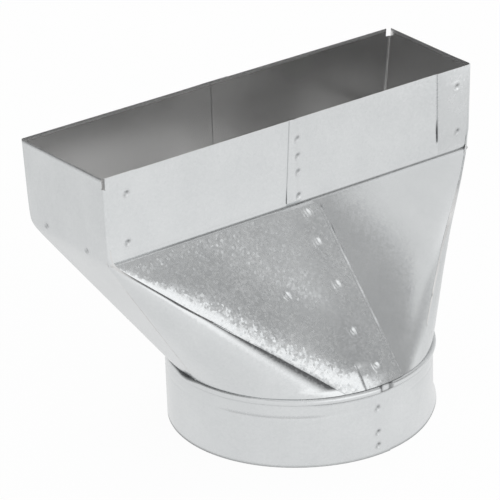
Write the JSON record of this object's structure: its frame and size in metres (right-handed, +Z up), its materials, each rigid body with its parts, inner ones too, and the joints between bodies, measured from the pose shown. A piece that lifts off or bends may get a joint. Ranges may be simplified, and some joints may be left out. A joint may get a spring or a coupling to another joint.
{
  "type": "register boot",
  "caption": "Galvanised sheet register boot: a rectangular register box that slopes down, flush at the back, to a round duct collar.",
  "frame": {"origin": "on the collar axis at its lower rim, which is the centre of the bounding box's bottom", "axes": "+Z up out of the mouth, +X along the mouth, -Y towards the sloped front panel"},
  "size_m": [0.255, 0.157, 0.177],
  "materials": {
    "galvanised_sheet": "hot-dip galvanised, fine spangle, bare"
  },
  "bodies": {
    "root": {"left_body_half": "galvanised_sheet", "right_body_half": "galvanised_sheet", "round_collar": "galvanised_sheet"}
  },
  "joints": []
}
